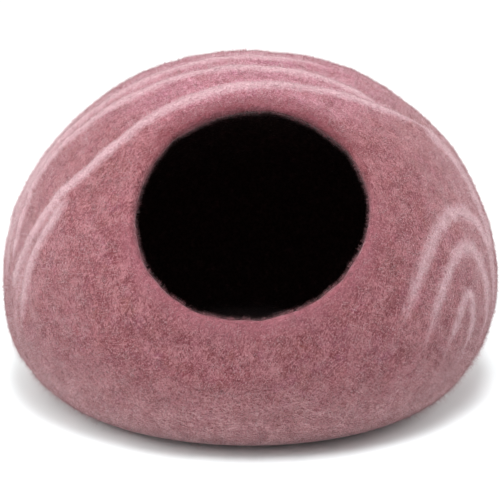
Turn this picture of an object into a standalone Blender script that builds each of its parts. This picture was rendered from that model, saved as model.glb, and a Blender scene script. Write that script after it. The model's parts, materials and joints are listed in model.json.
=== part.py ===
"""A felted wool cat cave: one seamless egg-shaped shell with a round mouth, standing on its flat base.

Metres, +Z up. The origin is the middle of the flat base. The mouth faces -Y and a little up, and the
shell is one closed solid: its outer face, a rounded lip around the mouth, and its inner face.
"""

import math

import bmesh
import bpy
import numpy as np

# The body, outside
WIDTH = 0.459  # across, along X
DEPTH = 0.440  # front to back, along Y
HEIGHT = 0.309
WAIST = 0.095  # height of the widest line
BASE_WIDTH = 0.336  # flat part of the underside, across
FLANK_POWER = 1.89  # below the waist: 2 is a quarter ellipse, and less draws the flank in
WALL = 0.008  # thickness of the felt

# The mouth, in its own leaning plane
MOUTH_WIDTH = 0.199
MOUTH_HEIGHT = 0.193
MOUTH_MIDDLE = (0.0022, -0.1643, 0.2090)
MOUTH_TILT = math.radians(34.7)  # how far the mouth looks up
MOUTH_REACH = 0.003  # how much further it reaches to the upper right and lower left, and less between
MOUTH_REACH_AT = math.radians(40)

# Felt is never quite even: slow swells, each with a wavelength, a height, a direction and a start
SWELLS = (
    # length, height, along x, y, z, start in degrees
    (0.190, 0.0007, (0.8, 0.5, 0.3), 40),
    (0.130, 0.0005, (-0.4, 0.3, 0.9), 110),
    (0.090, 0.0004, (0.5, -0.8, 0.4), 250),
)
BASE_CALM = 0.040  # height over which the unevenness fades out towards the flat base

# Raised streaks of wool. A station is (side, turn): degrees from the middle towards the right-hand end
# of the body, and degrees around its left-right axis, where 0 is straight ahead and 90 straight up.
STREAKS = {
    "front": ((-68, 8), (-63, 24), (-51, 42), (-41, 49), (-20, 62), (4, 69), (28, 71), (47, 76), (62, 84)),
    "fork": ((-38, 50), (-48, 38), (-56, 24), (-60, 0), (-59, -20)),
    "middle": ((-68, 22), (-64, 44), (-56, 66), (-38, 73), (-12, 76), (14, 77), (36, 73)),
    "rear": ((-60, 74), (-38, 80), (-14, 84), (12, 85), (40, 88)),
}
STREAK_HEIGHT = 0.0022
STREAK_WIDTH = 0.017  # foot to foot
STREAK_FADE = 0.15  # share of a streak's length over which each end sinks into the felt
STREAK_SHOWS = 0.2  # share of its height from which it is worth a finer net

# How finely the shell is divided
AROUND = 68  # points in a ring around the mouth
OUTER_RINGS = 32
INNER_RINGS = 15
LIP_STEPS = 5
STREAK_SAMPLES = 160
HALVINGS = 48  # steps in which a ray's way out of the body is found
NEAR_STREAK = (0.018, 0.010)  # edges this close to a streak are halved, once for each distance
NEAR_BASE_EDGE = 0.012  # edges this close to the edge of the flat base are halved once
ON_BASE_EDGE = 0.0038  # points this close to it are moved onto it

# Finish
ROSE = (0.33, 0.125, 0.14, 1.0)
FELT_ROUGHNESS = 0.95

HALF_WIDTH = WIDTH / 2
BASE_RADIUS = BASE_WIDTH / 2
DOME_RISE = HEIGHT - WAIST
WAIST_MIDDLE = np.array([0.0, 0.0, WAIST])
MOUTH_ACROSS = np.array([1.0, 0.0, 0.0])
MOUTH_AHEAD = np.array([0.0, -math.cos(MOUTH_TILT), math.sin(MOUTH_TILT)])
MOUTH_UP = np.cross(MOUTH_AHEAD, MOUTH_ACROSS)
HOLLOW_DEPTH = 0.160  # from the mouth's plane to the point that the rings are drawn from
HOLLOW = np.array(MOUTH_MIDDLE) - MOUTH_AHEAD * HOLLOW_DEPTH


def clear_scene():
    for old in list(bpy.data.objects):
        bpy.data.objects.remove(old)


def unit(vectors):
    return vectors / np.linalg.norm(vectors, axis=-1, keepdims=True)


def eased(share):
    share = np.clip(share, 0.0, 1.0)
    return share * share * (3.0 - 2.0 * share)


def body_level(points):
    """Under 1 inside the smooth body and over 1 outside it."""
    out = np.hypot(points[..., 0], points[..., 1] * WIDTH / DEPTH)
    rise = points[..., 2] - WAIST
    dome = (out / HALF_WIDTH) ** 2 + (rise / DOME_RISE) ** 2
    flank = np.clip(out - BASE_RADIUS, 0.0, None) / (HALF_WIDTH - BASE_RADIUS)
    drop = np.clip(-rise, 0.0, None) / WAIST
    return np.where(rise > 0.0, dome, flank**FLANK_POWER + drop**FLANK_POWER)


def onto_body(directions, start):
    """Where rays from a point inside leave the smooth body, found by halving."""
    near = np.zeros(len(directions))
    far = np.full(len(directions), WIDTH)
    for _ in range(HALVINGS):
        half = (near + far) / 2.0
        inside = body_level(start + directions * half[:, None]) < 1.0
        near = np.where(inside, half, near)
        far = np.where(inside, far, half)
    return start + directions * near[:, None]


def outward(points):
    """The body's outward directions at points on it."""
    step = 1e-5
    slope = np.empty_like(points)
    for axis in range(3):
        shift = np.zeros(3)
        shift[axis] = step
        slope[:, axis] = body_level(points + shift) - body_level(points - shift)
    return unit(slope)


def run_through(stations, count):
    """Points of a smooth run through stations, spaced evenly between them."""
    knots = np.array(stations, float)
    knots = np.vstack([2 * knots[0] - knots[1], knots, 2 * knots[-1] - knots[-2]])
    along = np.linspace(0.0, len(stations) - 1 - 1e-9, count)
    first = along.astype(int)
    t = (along - first)[:, None]
    a, b, c, d = (knots[first + k] for k in range(4))
    return 0.5 * (2 * b + (c - a) * t + (2 * a - 5 * b + 4 * c - d) * t**2 + (3 * b - a - 3 * c + d) * t**3)


def streak_run(stations):
    """Points along one streak on the body, and how high it stands at each as a share."""
    side, turn = np.radians(run_through(stations, STREAK_SAMPLES)).T
    directions = np.stack([np.sin(side), -np.cos(side) * np.cos(turn), np.cos(side) * np.sin(turn)], axis=1)
    along = np.linspace(0.0, 1.0, STREAK_SAMPLES)
    strength = eased(along / STREAK_FADE) * eased((1.0 - along) / STREAK_FADE)
    return onto_body(directions, WAIST_MIDDLE), strength


def run_distance(points, run):
    """Each point's distance to the nearest sample of a run, and that sample's index."""
    apart = np.linalg.norm(points[:, None, :] - run[None, :, :], axis=2)
    nearest = apart.argmin(axis=1)
    return apart[np.arange(len(points)), nearest], nearest


def streak_relief(points, streaks):
    relief = np.zeros(len(points))
    for run, strength in streaks:
        apart, nearest = run_distance(points, run)
        profile = 1.0 - eased(apart / (STREAK_WIDTH / 2.0))
        relief = np.maximum(relief, STREAK_HEIGHT * strength[nearest] * profile)
    return relief


def swell_relief(points):
    relief = np.zeros(len(points))
    for length, height, direction, start in SWELLS:
        along = points @ unit(np.array(direction))
        relief += height * np.sin(2.0 * math.pi * along / length + math.radians(start))
    return relief * eased(points[:, 2] / BASE_CALM)


def mouth_directions():
    """From the hollow's middle through the mouth's outline, one direction for each point around."""
    angle = np.linspace(0.0, 2.0 * math.pi, AROUND, endpoint=False)
    reach = MOUTH_REACH * np.cos(2.0 * (angle - MOUTH_REACH_AT))
    across = (MOUTH_WIDTH / 2.0 + reach) * np.cos(angle)
    up = (MOUTH_HEIGHT / 2.0 + reach) * np.sin(angle)
    outline = np.array(MOUTH_MIDDLE) + across[:, None] * MOUTH_ACROSS + up[:, None] * MOUTH_UP
    return unit(outline - HOLLOW)


def ring_directions(rim, share):
    """Directions of a ring: share 0 is the mouth's rim and 1 the pole behind it."""
    lean = np.arccos(np.clip(rim @ MOUTH_AHEAD, -1.0, 1.0))
    sideways = unit(rim - np.outer(rim @ MOUTH_AHEAD, MOUTH_AHEAD))
    lean = lean + (math.pi - lean) * share
    return np.cos(lean)[:, None] * MOUTH_AHEAD + np.sin(lean)[:, None] * sideways


def rim_ring(rim):
    """The outer face's first ring, half a wall back from the mouth, so that the lip ends at the mouth."""
    start = onto_body(rim, HOLLOW)
    lean_step = (WALL / 2.0) / np.linalg.norm(start - HOLLOW, axis=1)
    lean = np.arccos(rim @ MOUTH_AHEAD)
    return ring_directions(rim, lean_step / (math.pi - lean))


def new_ring(shell, points):
    return [shell.verts.new(point) for point in points]


def join_rings(shell, first, second):
    """Faces between two rings of one size, or from a ring to the next with half its points."""
    count = len(first)
    for i in range(count):
        j = (i + 1) % count
        if len(second) == count:
            shell.faces.new((first[i], first[j], second[j], second[i]))
        elif i % 2 == 0:
            here, after = second[i // 2], second[(i // 2 + 1) % len(second)]
            last = first[(i + 2) % count]
            shell.faces.new((first[i], first[j], here))
            shell.faces.new((first[j], after, here))
            shell.faces.new((first[j], last, after))


def close_ring(shell, ring, point):
    pole = shell.verts.new(point)
    for i, corner in enumerate(ring):
        shell.faces.new((corner, ring[(i + 1) % len(ring)], pole))


def base_edge():
    """Points along the edge of the flat base."""
    angle = np.linspace(0.0, 2.0 * math.pi, STREAK_SAMPLES, endpoint=False)
    across, along = np.cos(angle), np.sin(angle) * DEPTH / WIDTH
    return np.stack([across, along, np.zeros(STREAK_SAMPLES)], axis=1) * BASE_RADIUS


def halve_near(shell, runs, reach):
    """Halves each edge whose middle is within reach of a run of points."""
    edges = list(shell.edges)
    middles = np.array([(edge.verts[0].co + edge.verts[1].co) / 2.0 for edge in edges])
    near = np.zeros(len(edges), bool)
    for run in runs:
        near |= run_distance(middles, run)[0] < reach
    chosen = [edge for edge, close in zip(edges, near) if close]
    bmesh.ops.subdivide_edges(shell, edges=chosen, cuts=1, use_grid_fill=True)


def base_edge_kept(points):
    """Points on the body, with those nearest the edge of the flat base moved onto that edge."""
    out = np.hypot(points[:, 0], points[:, 1] * WIDTH / DEPTH)
    beside = (np.abs(out - BASE_RADIUS) < ON_BASE_EDGE) & (points[:, 2] < ON_BASE_EDGE)
    kept = points.copy()
    kept[beside, :2] *= (BASE_RADIUS / out[beside])[:, None]
    kept[beside, 2] = 0.0
    return kept


def outer_face(shell, rim, streaks):
    """The outer face as a net around the mouth, made finer along the streaks. Returns its first ring."""
    start = rim_ring(rim)
    last = new_ring(shell, onto_body(start, HOLLOW))
    for k in range(1, OUTER_RINGS):
        ring = new_ring(shell, onto_body(ring_directions(start, k / OUTER_RINGS), HOLLOW))
        join_rings(shell, last, ring)
        last = ring
    close_ring(shell, last, onto_body(-MOUTH_AHEAD[None, :], HOLLOW)[0])

    for reach in NEAR_STREAK:
        halve_near(shell, [run[strength > STREAK_SHOWS] for run, strength in streaks], reach)
    halve_near(shell, [base_edge()], NEAR_BASE_EDGE)
    bmesh.ops.triangulate(shell, faces=[face for face in shell.faces if len(face.verts) > 4])

    places = np.array([vert.co for vert in shell.verts])
    places = base_edge_kept(onto_body(unit(places - HOLLOW), HOLLOW))
    relief = swell_relief(places) + streak_relief(places, streaks)
    places += outward(places) * relief[:, None]
    places[places[:, 2] < 1e-6, 2] = 0.0
    for vert, place in zip(shell.verts, places):
        vert.co = place
    return list(shell.verts)[:AROUND]


def lip(shell, first):
    """The rounded edge around the mouth. Returns its last ring, on the inner face."""
    edge = np.array([vert.co for vert in first])
    out = outward(onto_body(unit(edge - HOLLOW), HOLLOW))
    around = np.roll(edge, -1, axis=0) - np.roll(edge, 1, axis=0)
    inward = unit(np.cross(around, out))
    radius = WALL / 2.0
    last = first
    for step in range(1, LIP_STEPS + 2):
        turn = math.pi * step / (LIP_STEPS + 1)
        points = edge - out * radius + radius * (math.cos(turn) * out + math.sin(turn) * inward)
        ring = new_ring(shell, points)
        join_rings(shell, ring, last)
        last = ring
    return last


def inner_face(shell, rim, first):
    """The inner face, one wall inside the outer one and divided half as finely."""
    start = rim_ring(rim)[::2]
    last = first
    for k in range(1, INNER_RINGS):
        on_body = onto_body(ring_directions(start, k / INNER_RINGS), HOLLOW)
        relief = swell_relief(on_body) - WALL
        ring = new_ring(shell, on_body + outward(on_body) * relief[:, None])
        join_rings(shell, last, ring)
        last = ring
    pole = onto_body(-MOUTH_AHEAD[None, :], HOLLOW)
    close_ring(shell, last, (pole - outward(pole) * WALL)[0])


def centre_over_origin(shell):
    """The swells move the widest points a little, so the finished shell is centred again in X and Y."""
    places = np.array([vert.co for vert in shell.verts])
    middle = (places.min(axis=0) + places.max(axis=0)) / 2.0
    bmesh.ops.translate(shell, vec=(-middle[0], -middle[1], 0.0), verts=shell.verts)


def felt_material():
    material = bpy.data.materials.new("rose_felt")
    material.use_nodes = True
    shader = material.node_tree.nodes["Principled BSDF"]
    shader.inputs["Base Color"].default_value = ROSE
    shader.inputs["Roughness"].default_value = FELT_ROUGHNESS
    shader.inputs["Metallic"].default_value = 0.0
    return material


def felt_cave():
    """The one felted piece: outer face, lip and inner face as one closed solid."""
    rim = mouth_directions()
    streaks = [streak_run(stations) for stations in STREAKS.values()]
    shell = bmesh.new()
    first = outer_face(shell, rim, streaks)
    inner_first = lip(shell, first)
    inner_face(shell, rim, inner_first)
    bmesh.ops.recalc_face_normals(shell, faces=shell.faces)
    centre_over_origin(shell)
    mesh = bpy.data.meshes.new("felt_cave")
    shell.to_mesh(mesh)
    shell.free()
    mesh.shade_smooth()
    mesh.materials.append(felt_material())
    cave = bpy.data.objects.new("felt_cave", mesh)
    bpy.context.scene.collection.objects.link(cave)
    return cave


clear_scene()
felt_cave()
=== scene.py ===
# %% [markdown]
# # A felted wool cat cave
#
# The real thing is one seamless piece. Wool is laid in thin layers over a round form, wetted, soaped and
# rubbed until it shrinks into a wall about 8 mm thick. Then a round mouth is cut, and its edge is rubbed
# smooth. This lesson builds it in the same order: one closed shell, with paler wool felted in as
# streaks, then the felt's colour and texture, and last the loose fibres that make it look soft.
#
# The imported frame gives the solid's size and place. All sizes are in metres, +Z is up, and the mouth
# faces -Y.

import json
import math

import bmesh
import bpy
import numpy as np
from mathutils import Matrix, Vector, kdtree, noise

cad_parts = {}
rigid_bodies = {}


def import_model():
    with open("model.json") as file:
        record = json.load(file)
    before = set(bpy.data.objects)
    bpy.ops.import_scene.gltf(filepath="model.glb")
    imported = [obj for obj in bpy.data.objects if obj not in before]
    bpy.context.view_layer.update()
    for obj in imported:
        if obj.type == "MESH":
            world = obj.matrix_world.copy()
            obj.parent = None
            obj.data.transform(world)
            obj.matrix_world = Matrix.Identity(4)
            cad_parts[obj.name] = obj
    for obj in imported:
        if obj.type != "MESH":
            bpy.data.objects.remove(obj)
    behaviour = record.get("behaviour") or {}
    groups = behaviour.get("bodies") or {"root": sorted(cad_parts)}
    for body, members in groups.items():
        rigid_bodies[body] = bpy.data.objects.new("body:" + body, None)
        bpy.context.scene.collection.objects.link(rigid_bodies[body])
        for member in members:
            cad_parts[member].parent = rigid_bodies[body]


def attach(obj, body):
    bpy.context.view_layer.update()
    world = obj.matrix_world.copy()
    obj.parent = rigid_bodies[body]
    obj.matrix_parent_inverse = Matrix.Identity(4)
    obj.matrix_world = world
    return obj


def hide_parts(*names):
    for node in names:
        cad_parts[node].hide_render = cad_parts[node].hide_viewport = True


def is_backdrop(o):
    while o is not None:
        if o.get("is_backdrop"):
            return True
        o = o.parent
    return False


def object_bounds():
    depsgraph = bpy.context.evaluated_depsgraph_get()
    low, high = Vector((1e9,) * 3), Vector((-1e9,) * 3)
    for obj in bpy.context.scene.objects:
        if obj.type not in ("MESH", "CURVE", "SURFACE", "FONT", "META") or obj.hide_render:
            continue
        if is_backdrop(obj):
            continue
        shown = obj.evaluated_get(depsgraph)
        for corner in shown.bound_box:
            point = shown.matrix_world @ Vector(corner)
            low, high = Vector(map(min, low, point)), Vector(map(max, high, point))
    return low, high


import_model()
cad_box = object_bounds()
BODY = "root"
NODE = "felt_cave"
print("solid's box:", [[round(value, 4) for value in corner] for corner in cad_box])

# %% [markdown]
# ## The camera
#
# The cave was photographed from a little above with a long lens, as product pictures often are: a long
# lens keeps a round body from bulging towards the viewer. The camera stands 1.4 m from the middle of the
# body and looks down by 16 degrees. It aims a little under that middle, because the cave sits slightly
# high in the square picture.

# %% The camera
PICTURE_SIDE = 500  # px
FOCAL_LENGTH = 1498  # px: as wide in the picture as in the photograph
SENSOR_MM = 36.0
BODY_MIDDLE = Vector((0.0, 0.0, 0.15))
CAMERA_DISTANCE = 1.4
CAMERA_RISE = math.radians(16)
CAMERA_AIM = Vector((-0.0002, 0.0, 0.1238))

camera_data = bpy.data.cameras.new("camera")
camera_data.sensor_width = SENSOR_MM
camera_data.lens = FOCAL_LENGTH / PICTURE_SIDE * SENSOR_MM
camera = bpy.data.objects.new("camera", camera_data)
camera_back = Vector((0.0, -math.cos(CAMERA_RISE), math.sin(CAMERA_RISE)))
camera.location = BODY_MIDDLE + camera_back * CAMERA_DISTANCE
camera.rotation_mode = "QUATERNION"
camera.rotation_quaternion = (CAMERA_AIM - camera.location).to_track_quat("-Z", "Y")
bpy.context.scene.collection.objects.link(camera)
bpy.context.scene.camera = camera
print(f"camera: {camera_data.lens:.0f} mm lens at {[round(value, 3) for value in camera.location]}")

# %% [markdown]
# ## The body's form
#
# Rubbed over a round form, the wool takes its shape: a half egg above the widest line, and below it a
# flank that draws in to a flat base. Such a shape can be sculpted by hand, or turned from a profile.
# Here it is a formula, because a formula answers two questions that later steps ask: where does a ray
# from inside leave the body, and which way is outward there?

# %% The body's form
WIDTH = 0.459
DEPTH = 0.440
HEIGHT = 0.309
WAIST = 0.095  # height of the widest line
BASE_WIDTH = 0.336  # flat part of the underside
FLANK_POWER = 1.89
WALL = 0.008
HALVINGS = 40
HALF_WIDTH = WIDTH / 2.0
BASE_RADIUS = BASE_WIDTH / 2.0
WAIST_MIDDLE = np.array([0.0, 0.0, WAIST])


def unit(vectors):
    return vectors / np.linalg.norm(vectors, axis=-1, keepdims=True)


def eased(share):
    share = np.clip(share, 0.0, 1.0)
    return share * share * (3.0 - 2.0 * share)


def body_level(points):
    """Under 1 inside the smooth body, over 1 outside it."""
    out = np.hypot(points[..., 0], points[..., 1] * WIDTH / DEPTH)
    rise = points[..., 2] - WAIST
    dome = (out / HALF_WIDTH) ** 2 + (rise / (HEIGHT - WAIST)) ** 2
    flank = np.clip(out - BASE_RADIUS, 0.0, None) / (HALF_WIDTH - BASE_RADIUS)
    drop = np.clip(-rise, 0.0, None) / WAIST
    return np.where(rise > 0.0, dome, flank**FLANK_POWER + drop**FLANK_POWER)


print(f"body: {WIDTH:.3f} x {DEPTH:.3f} x {HEIGHT:.3f} m, wall {WALL * 1000:.0f} mm")


# %% Rays out of the body
def onto_body(directions, start):
    """Where rays from a point inside leave the smooth body, found by halving."""
    near = np.zeros(directions.shape[:-1])
    far = np.full(directions.shape[:-1], WIDTH)
    for _ in range(HALVINGS):
        half = (near + far) / 2.0
        inside_body = body_level(start + directions * half[..., None]) < 1.0
        near = np.where(inside_body, half, near)
        far = np.where(inside_body, far, half)
    return start + directions * near[..., None]


def outward(points, step=1e-5):
    """The body's outward directions at points on it."""
    slope = np.empty_like(points)
    for axis in range(3):
        shift = np.zeros(3)
        shift[axis] = step
        slope[..., axis] = body_level(points + shift) - body_level(points - shift)
    return unit(slope)


body_top = onto_body(np.array([[0.0, 0.0, 1.0]]), WAIST_MIDDLE)[0]
print("top of the body:", body_top.round(4), "outward:", outward(body_top[None, :])[0].round(3))

# %% [markdown]
# ## The mouth
#
# The mouth is cut high on the front, where the body looks ahead and up. Its outline lies in one leaning
# plane and is nearly round. It reaches a little further to the upper right and the lower left, as felt
# gives along one diagonal when it's pulled into shape.
# The shell's net is drawn in rings round this mouth, so that its edge is clean. Each ring is a fan of
# rays from a point deep in the hollow.

# %% The mouth, and rings round it
MOUTH_WIDTH = 0.199
MOUTH_HEIGHT = 0.193
MOUTH_MIDDLE = np.array([0.0022, -0.1643, 0.2090])
MOUTH_TILT = math.radians(34.7)
MOUTH_REACH = 0.003
MOUTH_REACH_AT = math.radians(40)
HOLLOW_DEPTH = 0.160
MOUTH_ACROSS = np.array([1.0, 0.0, 0.0])
MOUTH_AHEAD = np.array([0.0, -math.cos(MOUTH_TILT), math.sin(MOUTH_TILT)])
MOUTH_UP = np.cross(MOUTH_AHEAD, MOUTH_ACROSS)
HOLLOW = MOUTH_MIDDLE - MOUTH_AHEAD * HOLLOW_DEPTH


def mouth_directions(count):
    """From the hollow's middle through the mouth's outline, once round, ending where it began."""
    angle = np.linspace(0.0, 2.0 * math.pi, count + 1)
    reach = MOUTH_REACH * np.cos(2.0 * (angle - MOUTH_REACH_AT))
    across = (MOUTH_WIDTH / 2.0 + reach) * np.cos(angle)
    up = (MOUTH_HEIGHT / 2.0 + reach) * np.sin(angle)
    outline = MOUTH_MIDDLE + across[:, None] * MOUTH_ACROSS + up[:, None] * MOUTH_UP
    return unit(outline - HOLLOW)


def ring_directions(rim, share):
    """A ring's directions: share 0 is the rim itself, and 1 the pole behind it."""
    lean = np.arccos(np.clip(rim @ MOUTH_AHEAD, -1.0, 1.0))
    sideways = unit(rim - np.outer(rim @ MOUTH_AHEAD, MOUTH_AHEAD))
    lean = lean + (math.pi - lean) * np.asarray(share)
    return np.cos(lean)[:, None] * MOUTH_AHEAD + np.sin(lean)[:, None] * sideways


def rim_ring(rim):
    """The rim half a wall back from the mouth, so that the rounded lip ends at the mouth."""
    lean_step = (WALL / 2.0) / np.linalg.norm(onto_body(rim, HOLLOW) - HOLLOW, axis=1)
    lean = np.arccos(rim @ MOUTH_AHEAD)
    return ring_directions(rim, lean_step / (math.pi - lean))


print(f"mouth: {MOUTH_WIDTH:.3f} x {MOUTH_HEIGHT:.3f} m, looking up {math.degrees(MOUTH_TILT):.0f} degrees")

# %% [markdown]
# ## Streaks of paler wool
#
# Before the felting, thin rovings of paler wool are laid over the rose layers. The thick ones felt in as
# soft raised streaks, which here run over the top and down the left side. Thin ones sink in flat, and
# carry the streaks on down both flanks. Each is a smooth run through a few stations, given as angles: how
# far to the side, and how far round from the front to the top.
#
# On the right flank the paler wool lies flat in the felt, as nested arches. They are drawn by a rule,
# one arch at three sizes, so that they stay even however the sizes are changed.

# %% Runs through stations
RUN_SAMPLES = 240


def side_turn(side, turn):
    """The direction at an angle to the side and an angle round from the front to the top."""
    side, turn = np.radians(side), np.radians(turn)
    return np.stack([np.sin(side), -np.cos(side) * np.cos(turn), np.cos(side) * np.sin(turn)], axis=-1)


def run_through(stations, count):
    """Points of a smooth run through stations, evenly many between each two."""
    knots = np.array(stations, float)
    knots = np.vstack([2 * knots[0] - knots[1], knots, 2 * knots[-1] - knots[-2]])
    along = np.linspace(0.0, len(stations) - 1 - 1e-9, count)
    first = along.astype(int)
    t = (along - first)[:, None]
    a, b, c, d = (knots[first + k] for k in range(4))
    square = 2 * a - 5 * b + 4 * c - d
    cube = 3 * b - a - 3 * c + d
    return 0.5 * (2 * b + (c - a) * t + square * t**2 + cube * t**3)


def faded(start, end):
    """A run's strength along it, rising over its start and sinking over its end."""
    along = np.linspace(0.0, 1.0, RUN_SAMPLES)
    return eased(along / start) * eased((1.0 - along) / end)


print("a run's first points:", run_through(((0, 0), (10, 20), (30, 30)), 5).round(1).tolist())

# %% The streaks
STREAKS = {
    "front": ((-68, 8), (-63, 24), (-51, 42), (-41, 49), (-20, 62), (4, 69), (28, 71), (47, 76), (62, 84)),
    "fork": ((-38, 50), (-48, 38), (-56, 24), (-60, 0), (-59, -20)),
    "middle": ((-68, 22), (-64, 44), (-56, 66), (-38, 73), (-12, 76), (14, 77), (36, 73)),
    "rear": ((-60, 74), (-38, 80), (-14, 84), (12, 85), (40, 88)),
    "side front": ((-38, 80), (-53, 77), (-65, 68), (-71, 50), (-73, 24), (-73, -6), (-66, -38)),
    "side middle": ((-34, 89), (-54, 89), (-69, 84), (-77, 62), (-80, 26), (-81, -8), (-75, -44)),
    "side rear": ((-26, 92), (-52, 98), (-69, 104), (-78, 120), (-82, 160), (-81, 204)),
    "fan": ((-44, 47), (-55, 34), (-63, 14), (-65, -8), (-62, -26), (-56, -38)),
    "side right": ((30, 72), (46, 75), (57, 71), (65, 60), (71, 46), (77, 28), (81, 2)),
}
FLAT_RUNS = ("side front", "side middle", "side rear", "fan", "side right")
STREAK_HEIGHT = 0.0022
STREAK_WIDTH = 0.017
STREAK_FADE = 0.15
STREAK_COLOUR = {
    # width, start fade, end fade and strength of the pale wool
    "front": (0.0150, 0.08, 0.25, 1.00),
    "fork": (0.0150, 0.25, 0.42, 0.95),
    "middle": (0.0160, 0.12, 0.08, 1.00),
    "rear": (0.0180, 0.15, 0.35, 1.00),
    "side front": (0.0420, 0.16, 0.50, 0.80),
    "side middle": (0.0260, 0.12, 0.42, 0.86),
    "side rear": (0.0220, 0.12, 0.50, 0.78),
    "fan": (0.0200, 0.25, 0.42, 0.62),
    "side right": (0.0240, 0.20, 0.40, 0.90),
}


def streak_places(stations):
    side, turn = run_through(stations, RUN_SAMPLES).T
    return onto_body(side_turn(side, turn), WAIST_MIDDLE)


streak_runs = {name: streak_places(stations) for name, stations in STREAKS.items()}
for name, places in streak_runs.items():
    print(f"{name}: {np.linalg.norm(np.diff(places, axis=0), axis=1).sum():.3f} m long")

# %% The arches
ARCH_FOOT = (51, -13)  # side and turn of the middle of their feet
ARCH_LEAN = math.radians(20)
ARCHES = (
    # half width, rise, band
    (0.088, 0.166, 0.021),
    (0.053, 0.118, 0.020),
    (0.018, 0.066, 0.016),
)
ARCH_LEAST = 0.50  # strength of the pale wool at an arch's feet
ARCH_MORE = 0.32  # what is added further up
ARCH_FADE = 0.20


def arch_places(half_width, rise):
    """Points along one leaning arch on the flank."""
    foot = onto_body(side_turn(*ARCH_FOOT)[None, :], WAIST_MIDDLE)[0]
    out = outward(foot[None, :])[0]
    right = unit(np.cross([0.0, 0.0, 1.0], out))
    up = np.cross(out, right)
    tall = math.cos(ARCH_LEAN) * up + math.sin(ARCH_LEAN) * right
    wide = math.cos(ARCH_LEAN) * right - math.sin(ARCH_LEAN) * up
    angle = np.linspace(0.0, math.pi, RUN_SAMPLES)[:, None]
    drawn = foot - wide * half_width * np.cos(angle) + tall * rise * np.sin(angle)
    return onto_body(unit(drawn - WAIST_MIDDLE), WAIST_MIDDLE)


arch_runs = [arch_places(half_width, rise) for half_width, rise, _ in ARCHES]
print(f"{len(arch_runs)} nested arches, the largest {ARCHES[0][1] * 1000:.0f} mm tall")

# %% [markdown]
# ## One sheet of felt, rolled into the shell
#
# The shell starts as one flat grid, like a sheet of felt. One side of the grid goes round the mouth. The
# other starts under the base, climbs the outer face to the mouth, turns over the lip and runs back down
# the inner face. Merging the two long edges and the two ends closes it. A lathe could not do this, as the
# mouth leans, and cutting the mouth with a boolean would leave a ragged net. The grid's own flat
# coordinates stay with the mesh as the map for its colours.

# %% Rows on the outer and the inner face
AROUND = 320
OUTER_ROWS = 186
INNER_ROWS = 60
BASE_CALM = 0.040
SWELLS = (
    # length, height, direction, start in degrees
    (0.190, 0.0007, (0.8, 0.5, 0.3), 40),
    (0.130, 0.0005, (-0.4, 0.3, 0.9), 110),
    (0.090, 0.0004, (0.5, -0.8, 0.4), 250),
)


def swell_relief(points):
    """Felt is never quite even: slow swells, calm towards the flat base."""
    relief = np.zeros(points.shape[:-1])
    for length, height, direction, start in SWELLS:
        along = points @ unit(np.array(direction))
        relief += height * np.sin(2.0 * math.pi * along / length + math.radians(start))
    return relief * eased(points[..., 2] / BASE_CALM)


rim = rim_ring(mouth_directions(AROUND))
outer_fans = [ring_directions(rim, share) for share in np.linspace(1.0, 0.0, OUTER_ROWS + 1)]
inner_fans = [ring_directions(rim, share) for share in np.linspace(0.0, 1.0, INNER_ROWS + 1)]
outer_smooth = onto_body(np.array(outer_fans), HOLLOW)
inner_smooth = onto_body(np.array(inner_fans), HOLLOW)
print(f"outer face {outer_smooth.shape[:2]}, inner face {inner_smooth.shape[:2]} points")

# %% Where the paler wool lies
flat_places = [Vector(place) for place in outer_smooth.reshape(-1, 3)]
streak_relief = np.zeros(len(flat_places))
paleness = np.full(len(flat_places), -1.0)
run_along = np.zeros(len(flat_places))
run_across = np.zeros(len(flat_places))


def lay_run(places, width, strength, raised=False):
    """Marks one run of pale wool on the outer face: 1 on its middle line, 0 at its edges, -1 far off."""
    tree = kdtree.KDTree(len(places))
    for index, place in enumerate(places):
        tree.insert(place, index)
    tree.balance()
    nearest = [tree.find(place)[1:] for place in flat_places]
    index = np.array([found[0] for found in nearest])
    apart = np.array([found[1] for found in nearest])
    pale = np.clip(strength[index] * (2.0 - apart / (width / 2.0)) - 1.0, -1.0, 1.0)
    stronger = pale > paleness
    lengths = np.append(0.0, np.linalg.norm(np.diff(places, axis=0), axis=1).cumsum())
    paleness[stronger] = pale[stronger]
    run_along[stronger] = lengths[index][stronger]
    run_across[stronger] = apart[stronger]
    if raised:
        profile = 1.0 - eased(apart / (STREAK_WIDTH / 2.0))
        relief = STREAK_HEIGHT * faded(STREAK_FADE, STREAK_FADE)[index] * profile
        streak_relief[:] = np.maximum(streak_relief, relief)


for name, (width, start, end, strength) in STREAK_COLOUR.items():
    lay_run(streak_runs[name], width, strength * faded(start, end), raised=name not in FLAT_RUNS)
for places, (_, _, band) in zip(arch_runs, ARCHES):
    lay_run(places, band, ARCH_LEAST + ARCH_MORE * faded(ARCH_FADE, ARCH_FADE))
print(f"pale wool on {(paleness > 0.0).mean() * 100:.0f} % of the points")

# %% Rows with relief, and the lip between them
LIP_ROWS = 12

outer_relief = swell_relief(outer_smooth) + streak_relief.reshape(outer_smooth.shape[:2])
outer_rows = outer_smooth + outward(outer_smooth) * outer_relief[..., None]
inner_rows = inner_smooth + outward(inner_smooth) * (swell_relief(inner_smooth) - WALL)[..., None]
edge = (outer_rows[-1] + inner_rows[0]) / 2.0
edge_out = (outer_rows[-1] - inner_rows[0]) / 2.0
edge_along = unit(np.roll(edge[:-1], -1, axis=0) - np.roll(edge[:-1], 1, axis=0))
edge_ahead = unit(np.cross(edge_along, edge_out[:-1]))
edge_ahead = np.vstack([edge_ahead, edge_ahead[:1]])
edge_ahead *= np.sign(((MOUTH_MIDDLE - edge) * edge_ahead).sum(axis=1, keepdims=True)) * WALL / 2.0
lip_turns = np.linspace(0.0, math.pi, LIP_ROWS + 1)[1:-1]
lip_rows = np.array([edge + math.cos(turn) * edge_out + math.sin(turn) * edge_ahead for turn in lip_turns])
print(f"lip: {WALL / 2.0 * 1000:.0f} mm round, {len(lip_rows)} rows")

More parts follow.
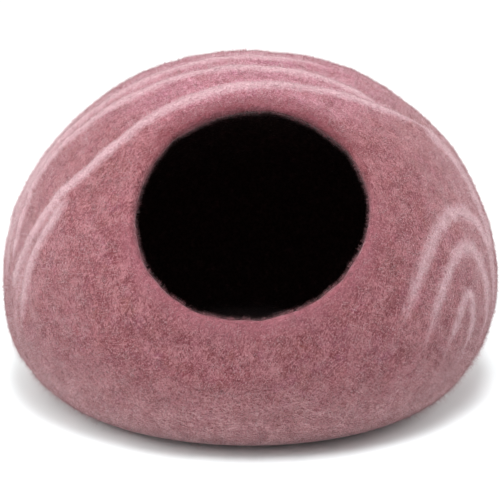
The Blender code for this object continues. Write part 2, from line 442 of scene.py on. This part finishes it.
# %% Roll the grid up
BAKE_MAP = "OFBake"
RIM_BAND = 0.018  # the painted highlight and shade at the lip's edge fade out over this width
rows = np.concatenate([outer_rows, lip_rows, inner_rows])
last_row = len(rows) - 1
inside = np.concatenate([np.zeros(len(outer_rows)), lip_turns / math.pi, np.ones(len(inner_rows))])
unmarked = np.full((len(rows) - len(outer_rows), AROUND + 1), -1.0)
marks = {
    name: np.concatenate([values.reshape(outer_smooth.shape[:2]), unmarked])
    for name, values in (("pale", paleness), ("along", run_along), ("across", run_across))
}
marks["inside"] = np.repeat(inside[:, None], AROUND + 1, axis=1)
from_lip = np.linalg.norm(outer_smooth - outer_smooth[-1], axis=2)
marks["rim"] = np.concatenate([1.0 - eased(from_lip / RIM_BAND), np.ones_like(unmarked)])


def rolled_shell():
    """The closed shell from one grid, with its pale wool and its inside marked on its points."""
    bm = bmesh.new()
    bm.loops.layers.uv.new(BAKE_MAP)
    layers = {name: bm.verts.layers.float.new(name) for name in marks}
    bmesh.ops.create_grid(bm, x_segments=AROUND, y_segments=last_row, size=1.0, calc_uvs=True)
    for vert in bm.verts:
        column = round((vert.co.x + 1.0) / 2.0 * AROUND)
        row = round((vert.co.y + 1.0) / 2.0 * last_row)
        vert.co = rows[row, column]
        for name, layer in layers.items():
            vert[layer] = marks[name][row, column]
    bmesh.ops.remove_doubles(bm, verts=bm.verts, dist=1e-6)
    bmesh.ops.recalc_face_normals(bm, faces=bm.faces)
    return bm


shell_bm = rolled_shell()
open_edges = sum(not edge.is_manifold for edge in shell_bm.edges)
print(f"shell: {len(shell_bm.faces)} faces, {open_edges} open edges")

# %% [markdown]
# ## Small lumps
#
# Wool shrinks unevenly, so the surface has low lumps, one to four centimetres across and up to about a
# millimetre high. They could be painted as bump, but real relief also shows along the outline. Every
# point moves along its own normal by a noise that depends only on its place, so each run of the script
# gives the same lumps.

# %% Small lumps
LUMPS = ((0.036, 0.0012), (0.016, 0.0011), (0.011, 0.0003))  # size and height


def raise_lumps(bm):
    bm.normal_update()
    for vert in bm.verts:
        calm = float(eased(vert.co.z / BASE_CALM))
        swell = sum(height * noise.noise(vert.co / size) for size, height in LUMPS)
        vert.co += vert.normal * calm * swell


def mesh_object(name, mesh):
    """An object for a finished mesh, riding on the body."""
    mesh.shade_smooth()
    made = bpy.data.objects.new(name, mesh)
    bpy.context.scene.collection.objects.link(made)
    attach(made, BODY)
    return made


raise_lumps(shell_bm)
corners = np.array([vert.co for vert in shell_bm.verts])
to_middle = -(corners.min(axis=0) + corners.max(axis=0)) / 2.0
to_middle[2] = -corners[:, 2].min()
bmesh.ops.translate(shell_bm, verts=shell_bm.verts, vec=Vector(to_middle))
print(f"felt {shell_bm.calc_volume() * 1000:.2f} litres, moved by {(to_middle * 1000).round(2)} mm")
shell_mesh = bpy.data.meshes.new("felt_shell")
shell_bm.to_mesh(shell_mesh)
shell_bm.free()
shell = mesh_object("felt_shell", shell_mesh)
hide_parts(NODE)

# %% [markdown]
# ## The felt's colour and texture
#
# Felt has no weave. Up close it is a tangle of fibres a few hundredths of a millimetre thick, some paler
# and some deeper than the rest, and from a step away it is softly mottled at several scales. So the
# colour is built from noise at those scales, from clouds of 70 mm down to specks of 3 mm, and from noise
# stretched in several directions, which reads as fibres. All of it is laid in the object's own space, so
# it stays in the felt from every side. A paler web of fibres lies over the lowest part, and it also lifts
# that band as painted light where the flank turns down into shade. The top is painted lighter and pinker,
# as painted light from above. The lip's edge has a painted highlight below, where it faces up, and
# painted shade at the top. The inside is painted near-black rose-brown, as painted shade in the hollow.

# %% Helpers for materials
def put(tree, kind, inputs=None, **settings):
    """A node with its settings and inputs, each input a value or another node's output."""
    made = tree.nodes.new(kind)
    for name, value in settings.items():
        setattr(made, name, value)
    for name, value in (inputs or {}).items():
        if isinstance(value, bpy.types.NodeSocket):
            tree.links.new(value, made.inputs[name])
        else:
            made.inputs[name].default_value = value
    return made


def mixed(tree, share, first, second, blend="MIX"):
    """Two colours mixed by a share."""
    made = put(tree, "ShaderNodeMix", {0: share, 6: first, 7: second}, data_type="RGBA", blend_type=blend)
    return made.outputs[2]


def sums(tree, first, second, operation="ADD"):
    return put(tree, "ShaderNodeMath", {0: first, 1: second}, operation=operation).outputs[0]


def spread(tree, value, low, high, least=0.0, most=1.0):
    """A value from low to high, eased to a range from least to most."""
    inputs = {0: value, 1: low, 2: high, 3: least, 4: most}
    return put(tree, "ShaderNodeMapRange", inputs, interpolation_type="SMOOTHSTEP").outputs[0]


def grain(tree, place, size, detail=2.0, rough=0.55):
    """Noise with features of about this size."""
    inputs = {"Vector": place, "Scale": 1.0 / size, "Detail": detail, "Roughness": rough}
    return put(tree, "ShaderNodeTexNoise", inputs).outputs[0]


def fibres(tree, place, turn, length, thickness):
    """Noise stretched along one direction, which reads as fibres that lie that way."""
    stretched = (1.0 / length, 1.0 / thickness, 1.0 / thickness)
    turned = put(tree, "ShaderNodeMapping", {"Vector": place, "Rotation": turn})
    shrunk = put(tree, "ShaderNodeMapping", {"Vector": turned.outputs[0], "Scale": stretched})
    inputs = {"Vector": shrunk.outputs[0], "Scale": 1.0, "Detail": 2.0, "Roughness": 0.5}
    return put(tree, "ShaderNodeTexNoise", inputs).outputs[0]


def mark(tree, name):
    return put(tree, "ShaderNodeAttribute", attribute_name=name).outputs["Fac"]


print("helpers ready")

# %% Colours of the wool
ROSE = (0.227, 0.060, 0.071, 1.0)
ROSE_DEEP = (0.146, 0.034, 0.042, 1.0)
ROSE_GREYED = (0.217, 0.080, 0.077, 1.0)
ROSE_BRIGHT = (0.266, 0.063, 0.092, 1.0)
ROSE_MAUVE = (0.245, 0.078, 0.125, 1.0)
ROSE_TAWNY = (0.220, 0.080, 0.064, 1.0)
ROSE_TOP_PAINTED_LIGHT = (1.32, 1.46, 1.60, 1.0)  # painted light: the rose is multiplied by this at the top, lighter and pinker where more light falls from above
# painted highlight for the lip's edge where it faces up
ROSE_RIM_PAINTED_HIGHLIGHT = (0.300, 0.105, 0.130, 1.0)
FIBRE_PALE = (0.490, 0.260, 0.270, 1.0)
ROSE_PALE = (0.390, 0.170, 0.187, 1.0)
STREAK_PINK = (0.600, 0.405, 0.430, 1.0)
STREAK_DUSKY = (0.460, 0.275, 0.300, 1.0)
# painted shade: the inside of the hollow and the lip's inner side are painted near-black rose-brown
INSIDE_PAINTED_SHADE = (0.034, 0.012, 0.011, 1.0)
INSIDE_PAINTED_SHADE_LIGHTER = (0.075, 0.033, 0.031, 1.0)
FIBRE_TURNS = (
    # every third lies deeper than the rose, the rest paler
    (0.3, 0.2, 0.5),
    (1.2, 0.6, 2.1),
    (0.4, 1.3, 3.4),
    (2.2, 0.1, 1.1),
    (0.1, 0.8, 0.0),
    (1.0, 2.0, 0.4),
)
MOTTLES = (
    # size, and how far it deepens and pales the rose
    (0.034, 0.50, 0.40),
    (0.018, 0.60, 0.48),
    (0.009, 0.52, 0.38),
)
LOW_FIBRE_TURNS = ((0.7, 0.1, 0.2), (0.2, 0.9, 1.3), (1.5, 0.3, 2.6))  # of the paler web near the base
GREY_CLOUDS = 0.070
BRIGHT_CLOUDS = 0.045
TINTS = (0.026, 0.011)  # sizes of the mauve and the tawny patches
SPECKS = 0.0026
PITS_APART = 0.0065
LYING_FIBRES = (0.009, 0.0010)  # length and thickness
WEB_FIBRES = (0.009, 0.0013)
TOP_PAINTED_LIGHT_HEIGHTS = (0.250, 0.298)  # heights between which the painted light on the top grows in
LOW_WEB_AND_PAINTED_LIGHT = (0.090, 0.030)  # and, going down, the paler web grows in: real pale fibres, and painted light that lifts the shaded lowest band


def rose_colour(tree, place):
    """The rose wool: clouds, mottle, deep specks, fibres paler and deeper than it, painted light on the
    top, and a paler web near the base that is also painted light.
    """
    greyed = spread(tree, grain(tree, place, GREY_CLOUDS), 0.42, 0.64, 0.0, 0.85)
    colour = mixed(tree, greyed, ROSE, ROSE_GREYED)
    moved = put(tree, "ShaderNodeMapping", {"Vector": place, "Location": (3.0, 1.0, 2.0)}).outputs[0]
    bright = spread(tree, grain(tree, moved, BRIGHT_CLOUDS), 0.50, 0.68, 0.0, 0.6)
    colour = mixed(tree, bright, colour, ROSE_BRIGHT)
    for size in TINTS:
        mauve = spread(tree, grain(tree, moved, size * 1.1, 1.0), 0.50, 0.66, 0.0, 0.55)
        colour = mixed(tree, mauve, colour, ROSE_MAUVE)
        tawny = spread(tree, grain(tree, moved, size * 0.9, 1.0), 0.50, 0.34, 0.0, 0.55)
        colour = mixed(tree, tawny, colour, ROSE_TAWNY)
    for size, deepest, palest in MOTTLES:
        deeper = spread(tree, grain(tree, place, size, 1.0), 0.46, 0.66, 0.0, deepest)
        colour = mixed(tree, deeper, colour, ROSE_DEEP)
        paler = spread(tree, grain(tree, moved, size, 1.0), 0.46, 0.66, 0.0, palest)
        colour = mixed(tree, paler, colour, ROSE_PALE)
    for index, turn in enumerate(FIBRE_TURNS):
        lying = fibres(tree, place, turn, *LYING_FIBRES)
        tone = ROSE_DEEP if index % 3 == 2 else ROSE_PALE
        colour = mixed(tree, spread(tree, lying, 0.55, 0.66, 0.0, 0.90), colour, tone)
    speck = spread(tree, grain(tree, place, SPECKS, 2.0, 0.6), 0.46, 0.70, 0.0, 0.42)
    colour = mixed(tree, speck, colour, ROSE_DEEP)
    height = put(tree, "ShaderNodeSeparateXYZ", {0: place}).outputs[2]
    # painted light: the top of the body is brightened and made pinker
    colour = mixed(tree, spread(tree, height, *TOP_PAINTED_LIGHT_HEIGHTS), colour, ROSE_TOP_PAINTED_LIGHT, "MULTIPLY")
    # the paler web near the base is real pale fibres and also painted light on the lowest band
    clumped = spread(tree, grain(tree, moved, 0.016, 2.0), 0.40, 0.62, 0.35, 1.20)
    low = sums(tree, spread(tree, height, *LOW_WEB_AND_PAINTED_LIGHT), clumped, "MULTIPLY")
    for turn in LOW_FIBRE_TURNS:
        web = spread(tree, fibres(tree, place, turn, *WEB_FIBRES), 0.540, 0.61, 0.0, 0.80)
        colour = mixed(tree, sums(tree, low, web, "MULTIPLY"), colour, FIBRE_PALE)
    return colour


def pits(tree, place):
    """1 in sparse small pits, about 6 mm apart or more, and 0 elsewhere."""
    inputs = {"Vector": place, "Scale": 1.0 / PITS_APART}
    apart = put(tree, "ShaderNodeTexVoronoi", inputs).outputs["Distance"]
    sparse = spread(tree, grain(tree, place, 0.020), 0.45, 0.60)
    return sums(tree, spread(tree, apart, 0.24, 0.10), sparse, "MULTIPLY")


print(f"{len(FIBRE_TURNS)} directions of fibres")

# %% The felt's material
FELT_FINISH = {
    "Roughness": 0.92,
    "Specular IOR Level": 0.15,
    "Sheen Weight": 0.55,
    "Sheen Roughness": 0.25,
    "Sheen Tint": (1.0, 0.86, 0.88, 1.0),
}
FELT_BUMP = {"Strength": 0.90, "Distance": 0.0013}
WISPS = 1.4  # how ragged the edges of pale wool are
LINE_LENGTH = 0.030  # of the fibres drawn out along a pale run
LINE_WIDTH = 0.0014
PALE_SHARE = (-0.25, 0.80, 0.0, 0.94)  # from mark, to mark, least and most pale wool
# painted highlight low on the lip's edge, painted shade high on it
RIM_PAINTED_HIGHLIGHT = (0.235, 0.170, 0.0, 0.55)  # from height, to height, least and most
RIM_PAINTED_SHADE = (0.225, 0.270, 0.0, 0.70)


def new_material(name, finish):
    """A material of one shader, with its finish set on the shader's own sockets."""
    made = bpy.data.materials.new(name)
    made.use_nodes = True
    tree = made.node_tree
    tree.nodes.clear()
    shader = put(tree, "ShaderNodeBsdfPrincipled", finish)
    put(tree, "ShaderNodeOutputMaterial", {"Surface": shader.outputs[0]})
    return made, tree, shader


def pale_wool(tree, place, rose, ragged):
    """The rose wool with the pale runs laid in, their fibres drawn out along each run."""
    inputs = {0: sums(tree, mark(tree, "along"), 1.0 / LINE_LENGTH, "MULTIPLY")}
    inputs[1] = sums(tree, mark(tree, "across"), 1.0 / LINE_WIDTH, "MULTIPLY")
    drawn_out = put(tree, "ShaderNodeCombineXYZ", inputs).outputs[0]
    lines = put(tree, "ShaderNodeTexNoise", {"Vector": drawn_out, "Scale": 1.0, "Detail": 2.0}).outputs[0]
    wispy = sums(tree, ragged, sums(tree, sums(tree, lines, 0.5, "SUBTRACT"), 0.5, "MULTIPLY"))
    share = spread(tree, sums(tree, mark(tree, "pale"), wispy), *PALE_SHARE)
    fine = spread(tree, grain(tree, place, 0.0016, 3.0), 0.40, 0.62)
    pink = mixed(tree, fine, STREAK_DUSKY, STREAK_PINK)
    return mixed(tree, share, rose, pink)


def rim_painted_light_and_shade(tree, place, rose):
    """The lip's edge: a painted highlight below, where it faces up, and painted shade at the top."""
    rim = mark(tree, "rim")
    height = put(tree, "ShaderNodeSeparateXYZ", {0: place}).outputs[2]
    below = sums(tree, rim, spread(tree, height, *RIM_PAINTED_HIGHLIGHT), "MULTIPLY")
    above = sums(tree, rim, spread(tree, height, *RIM_PAINTED_SHADE), "MULTIPLY")
    return mixed(tree, above, mixed(tree, below, rose, ROSE_RIM_PAINTED_HIGHLIGHT), ROSE_DEEP)


def felt_material():
    made, tree, shader = new_material("rose_felt", FELT_FINISH)
    place = put(tree, "ShaderNodeTexCoord").outputs["Object"]
    wisp = grain(tree, place, 0.008, 5.0, 0.80)
    ragged = sums(tree, sums(tree, wisp, 0.5, "SUBTRACT"), WISPS, "MULTIPLY")
    pitted = pits(tree, place)
    rose = mixed(tree, sums(tree, pitted, 0.6, "MULTIPLY"), rose_colour(tree, place), ROSE_DEEP)
    rose = rim_painted_light_and_shade(tree, place, rose)
    # painted shade: the inside is painted near-black
    dark_share = spread(tree, grain(tree, place, 0.003, 3.0), 0.35, 0.70)
    dark = mixed(tree, dark_share, INSIDE_PAINTED_SHADE, INSIDE_PAINTED_SHADE_LIGHTER)
    # painted shade: that near-black reaches further out onto the lip at the upper right
    axes = put(tree, "ShaderNodeSeparateXYZ", {0: place}).outputs
    upper_right = sums(tree, axes[2], sums(tree, axes[0], 0.5, "MULTIPLY"))
    early = spread(tree, upper_right, 0.21, 0.29, -0.05, 0.32)
    within = sums(tree, sums(tree, mark(tree, "inside"), early), sums(tree, ragged, 0.3, "MULTIPLY"))
    colour = mixed(tree, spread(tree, within, 0.72, 0.96), pale_wool(tree, place, rose, ragged), dark)
    tree.links.new(colour, shader.inputs["Base Color"])
    crossing = fibres(tree, place, (0.9, 0.4, 0.2), 0.006, 0.0009)
    tangle = sums(tree, grain(tree, place, 0.0022, 4.0, 0.65), crossing)
    height = sums(tree, tangle, sums(tree, pitted, 0.5, "MULTIPLY"), "SUBTRACT")
    bump = put(tree, "ShaderNodeBump", {"Height": height, **FELT_BUMP})
    tree.links.new(bump.outputs[0], shader.inputs["Normal"])
    return made


felt = felt_material()
shell.data.materials.append(felt)
print(f"felt: {len(felt.node_tree.nodes)} nodes")

# %% [markdown]
# ## Loose fibres
#
# What tells felt from clay is its nap: fibre ends that stand off the surface, longer fibres that lie
# across it, and fine wisps that grow thicker in some places than in others. A hair system would draw
# them, but it is lost when the model leaves Blender, so they are real, very thin closed cones. One cone
# comes from an operator. Its many thousand copies are then placed in one go with arrays, as one operator
# call for each would take minutes.

# %% One fibre
def fibre_shape(cuts):
    """A three-sided cone 1 long and 1 wide, cut across so that it can bend."""
    bm = bmesh.new()
    bmesh.ops.create_cone(bm, cap_ends=True, segments=3, radius1=0.5, radius2=0.0, depth=1.0)
    bmesh.ops.remove_doubles(bm, verts=bm.verts, dist=1e-4)
    bmesh.ops.translate(bm, verts=bm.verts, vec=(0.0, 0.0, 0.5))
    for cut in range(cuts):
        across = {"plane_co": (0.0, 0.0, (cut + 1) / (cuts + 1)), "plane_no": (0.0, 0.0, 1.0)}
        bmesh.ops.bisect_plane(bm, geom=bm.verts[:] + bm.edges[:] + bm.faces[:], **across)
    bmesh.ops.triangulate(bm, faces=bm.faces)
    bmesh.ops.recalc_face_normals(bm, faces=bm.faces)
    points = np.array([vert.co for vert in bm.verts])
    bm.verts.index_update()
    faces = np.array([[vert.index for vert in face.verts] for face in bm.faces])
    bm.free()
    return points, faces


SPIKE = fibre_shape(0)
STRAND = fibre_shape(1)
print(f"spike: {len(SPIKE[1])} faces, strand: {len(STRAND[1])} faces")


# %% Places for fibres on the felt
def felt_places():
    """The shell's triangles: corners, normals, areas, and the mean of each mark."""
    mesh = shell.data
    mesh.calc_loop_triangles()
    points = np.empty(len(mesh.vertices) * 3)
    mesh.vertices.foreach_get("co", points)
    points = points.reshape(-1, 3)
    corners = np.empty(len(mesh.loop_triangles) * 3, np.int32)
    mesh.loop_triangles.foreach_get("vertices", corners)
    corners = corners.reshape(-1, 3)
    a, b, c = (points[corners[:, k]] for k in range(3))
    normals = np.cross(b - a, c - a)
    areas = np.linalg.norm(normals, axis=1) / 2.0
    means = {}
    for name in marks:
        values = np.empty(len(mesh.vertices))
        mesh.attributes[name].data.foreach_get("value", values)
        means[name] = values[corners].mean(axis=1)
    return (a, b, c), normals / np.maximum(2.0 * areas, 1e-12)[:, None], areas, means


FELT = felt_places()
print(f"felt's surface: {FELT[2].sum():.3f} square metres, both faces")

# %% Lay fibres
FLOOR_GAP = 0.0004
FIBRE_SINK = 0.0003  # how deep a fibre is rooted
FIBRE_DROOP = 0.6  # share of the curl by which a tip bends back to the felt
THICKNESS_RANGE = (0.7, 1.3)


def lay_fibres(name, count, weight, shape, lengths, leans, thick, seed, curl=0.0):
    """Copies of a fibre, scattered over the felt by weight. leans are from the normal, in degrees."""
    rng = np.random.default_rng(seed)
    (a, b, c), normals, areas, means = FELT
    share = areas * weight(means, (a + b + c) / 3.0, normals)
    picked = rng.choice(len(areas), count, p=share / share.sum())
    s, t = rng.random((2, count, 1))
    s, t = np.where(s + t > 1.0, 1.0 - s, s), np.where(s + t > 1.0, 1.0 - t, t)
    root = a[picked] + (b - a)[picked] * s + (c - a)[picked] * t
    out = normals[picked]
    flat = unit(np.cross(out, rng.normal(size=(count, 3))))
    lean = np.radians(rng.uniform(*leans, (count, 1)))
    along = np.cos(lean) * out + np.sin(lean) * flat
    length = rng.uniform(*lengths, (count, 1))
    bend = np.cross(along, out) * rng.uniform(-curl, curl, (count, 1)) - out * curl * FIBRE_DROOP
    points, faces = shape
    high = points[None, :, 2:3]
    wide = thick * rng.uniform(*THICKNESS_RANGE, (count, 1, 1))
    beside = unit(np.cross(along, out + 0.01))
    above = np.cross(beside, along)
    places = (root - out * FIBRE_SINK)[:, None, :] + along[:, None, :] * length[:, None, :] * high
    places += (bend * length)[:, None, :] * high**2
    places += (beside[:, None, :] * points[None, :, 0:1] + above[:, None, :] * points[None, :, 1:2]) * wide
    places = places[places[:, :, 2].min(axis=1) > FLOOR_GAP]
    corners = faces[None, :, :] + (np.arange(len(places)) * len(points))[:, None, None]
    mesh = bpy.data.meshes.new(name)
    mesh.from_pydata(places.reshape(-1, 3), [], corners.reshape(-1, 3))
    made = mesh_object(name, mesh)
    print(f"{name}: {len(places)} fibres, {len(mesh.polygons)} faces")
    return made


# %% Where each tone of fibre lies
WISP_TUFT = 0.012  # size of the tufts that the wisps grow in
EDGE_TUFT = 0.005  # and of those on the lip
LIP_STARTS = 0.10  # on the "inside" mark, which is 0 outside and 1 inside
LIP_ROSE = (0.12, 0.72)
LIP_DARK = (0.60, 0.98)


def outside(means, middles, normals):
    """1 on the outer face above the floor, 0 inside and under the base."""
    under = (normals[:, 2] < -0.7) & (middles[:, 2] < 0.010)
    return (means["inside"] < 0.70) * (1.0 - under)


def off_lip(means, middles, normals):
    """The outer face short of the lip, where a long fibre would stand out against the dark."""
    return outside(means, middles, normals) * (means["inside"] < LIP_STARTS)


def tufts(middles, size, least):
    """Thick in tufts of about this size, and thin between them."""
    clumps = np.array([noise.noise(Vector(place) / size) for place in middles])
    return least + eased((clumps + 0.10) / 0.35)


def tufted(means, middles, normals):
    return off_lip(means, middles, normals) * tufts(middles, WISP_TUFT, 0.5)


def on_rose(means, middles, normals):
    return outside(means, middles, normals) * np.where(means["pale"] > 0.0, 0.15, 1.0)


def on_pale(means, middles, normals):
    return outside(means, middles, normals) * eased((means["pale"] - 0.05) / 0.5)


def low_down(means, middles, normals):
    # pale strands crowd near the base: real pale fibres, and painted light on the shaded lowest band
    crowded = 0.4 + 1.3 * eased((0.10 - middles[:, 2]) / 0.06)
    return on_rose(means, middles, normals) * off_lip(means, middles, normals) * crowded


def on_edge(means, middles, normals):
    """The lip's rose side, in tufts."""
    low, high = LIP_ROSE
    return (means["inside"] > low) * (means["inside"] < high) * tufts(middles, EDGE_TUFT, 0.1)


def on_lip(means, middles, normals):
    """The lip's dark side."""
    low, high = LIP_DARK
    return (means["inside"] > low) & (means["inside"] < high)


def on_inside(means, middles, normals):
    """The inner wall, thinning out away from the mouth."""
    near = np.clip(1.3 - np.linalg.norm(middles - MOUTH_MIDDLE, axis=1) / 0.30, 0.1, 1.0)
    return (means["inside"] >= 0.98) * near


nap = [
    lay_fibres("nap_rose", 38000, on_rose, SPIKE, (0.0020, 0.0050), (5, 80), 0.00020, 11),
    lay_fibres("nap_dusky", 31000, on_rose, SPIKE, (0.0025, 0.0065), (5, 85), 0.00018, 12),
    lay_fibres("nap_pale", 16000, on_pale, SPIKE, (0.0020, 0.0050), (5, 80), 0.00018, 13),
    lay_fibres("wisps", 46000, tufted, SPIKE, (0.0035, 0.0100), (0, 50), 0.00012, 14),
    lay_fibres("strands_pale", 12000, low_down, STRAND, (0.004, 0.011), (64, 88), 0.00030, 15, 0.35),
    lay_fibres("strands_deep", 8000, on_rose, STRAND, (0.004, 0.010), (68, 88), 0.00030, 16, 0.30),
    lay_fibres("nap_edge", 4500, on_edge, SPIKE, (0.0020, 0.0055), (0, 60), 0.00015, 19),
    lay_fibres("nap_lip", 5000, on_lip, SPIKE, (0.0015, 0.0050), (5, 70), 0.00016, 17),
    lay_fibres("nap_dark", 12000, on_inside, SPIKE, (0.0015, 0.0040), (10, 75), 0.00018, 18),
]

# %% Materials for the fibres
NAP_COLOURS = {
    "nap_rose": (0.260, 0.078, 0.094, 1.0),
    "nap_dusky": (0.338, 0.140, 0.158, 1.0),
    "nap_pale": (0.590, 0.415, 0.440, 1.0),
    "wisps": (0.600, 0.430, 0.442, 1.0),
    "strands_pale": (0.430, 0.225, 0.236, 1.0),
    "strands_deep": (0.130, 0.031, 0.041, 1.0),
    "nap_edge": (0.290, 0.095, 0.113, 1.0),
    # painted shade: the lip's inner side and the inside get near-black fibres
    "nap_lip": (0.100, 0.034, 0.038, 1.0),
    "nap_dark": (0.050, 0.020, 0.019, 1.0),
}
FIBRE_FINISH = {"Roughness": 0.85, "Specular IOR Level": 0.2, "Sheen Weight": 0.2}

for piece in nap:
    finish = {"Base Color": NAP_COLOURS[piece.name], **FIBRE_FINISH}
    piece.data.materials.append(new_material(piece.name, finish)[0])
print("fibre tones:", ", ".join(NAP_COLOURS))

# %% [markdown]
# ## The cloth's own size
#
# Felt is cloth. Cut open and pressed flat, its wall would make an oval of about 0.82 by 0.78 m. Its
# area is half of the shell's whole surface, as the wall has two faces.

wall_area = FELT[2].sum() / 2.0
print(f"wall: {wall_area:.3f} square metres on its middle line")

# %% [markdown]
# ## Floor and light
#
# The picture has a white ground and a soft light from above and from both sides. The top light stands a
# little towards the viewer, so that the shadow draws in under the body. The ground is white paper, lit
# a little brighter than white, which keeps the shadow narrow, and its own light keeps the far part of
# it white. Only that shadow shows where the body stands.

# %% Floor
FLOOR_SIZE = 8.0
FLOOR_PAPER = {"Base Color": (0.890, 0.965, 0.960, 1.0), "Roughness": 0.9}
floor_bm = bmesh.new()
bmesh.ops.create_grid(floor_bm, x_segments=1, y_segments=1, size=FLOOR_SIZE / 2.0)
floor_mesh = bpy.data.meshes.new("floor")
floor_bm.to_mesh(floor_mesh)
floor_bm.free()
floor = bpy.data.objects.new("floor", floor_mesh)
bpy.context.scene.collection.objects.link(floor)
floor.data.materials.append(new_material("floor_paper", FLOOR_PAPER)[0])
floor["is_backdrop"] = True
print(f"floor: {FLOOR_SIZE:.0f} m square")

# %% Light
SKY_STRENGTH = 0.38
world = bpy.data.worlds.new("studio")
world.use_nodes = True
sky = world.node_tree.nodes["Background"]
sky.inputs["Color"].default_value = (1.0, 1.0, 1.0, 1.0)
sky.inputs["Strength"].default_value = SKY_STRENGTH
bpy.context.scene.world = world


def soft_light(name, place, size, power, colour=(1.0, 1.0, 1.0), aim=BODY_MIDDLE):
    """A square soft box, which faces the body's middle unless it's aimed elsewhere."""
    data = bpy.data.lights.new(name, "AREA")
    data.color = colour
    data.shape = "SQUARE"
    data.size = size
    data.energy = power
    made = bpy.data.objects.new(name, data)
    made.location = place
    made.rotation_mode = "QUATERNION"
    made.rotation_quaternion = (aim - made.location).to_track_quat("-Z", "Y")
    bpy.context.scene.collection.objects.link(made)


soft_light("window", Vector((-1.3, -1.2, 2.2)), 2.0, 37.0)
soft_light("top", Vector((0.05, -0.90, 2.5)), 0.9, 62.0, (0.99, 0.97, 1.0))
soft_light("backdrop", Vector((0.0, 2.6, 1.8)), 2.0, 30.0, aim=Vector((0.0, 2.6, 0.0)))
soft_light("left side", Vector((-2.2, 0.4, 0.6)), 1.3, 22.0)
soft_light("right side", Vector((2.1, 1.0, 0.9)), 1.5, 40.0)
bpy.context.scene.view_settings.view_transform = "Standard"
print("lights:", [light.name for light in bpy.data.lights])

# %% [markdown]
# ## Measure and finish
#
# The visual model has to stay within the solid's box, with only the nap standing a little proud of it.

# %% Measure and finish
visual_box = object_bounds()
for label, corner_pair in (("solid", cad_box), ("dressed", visual_box)):
    print(label, [[round(value * 1000, 1) for value in corner] for corner in corner_pair])
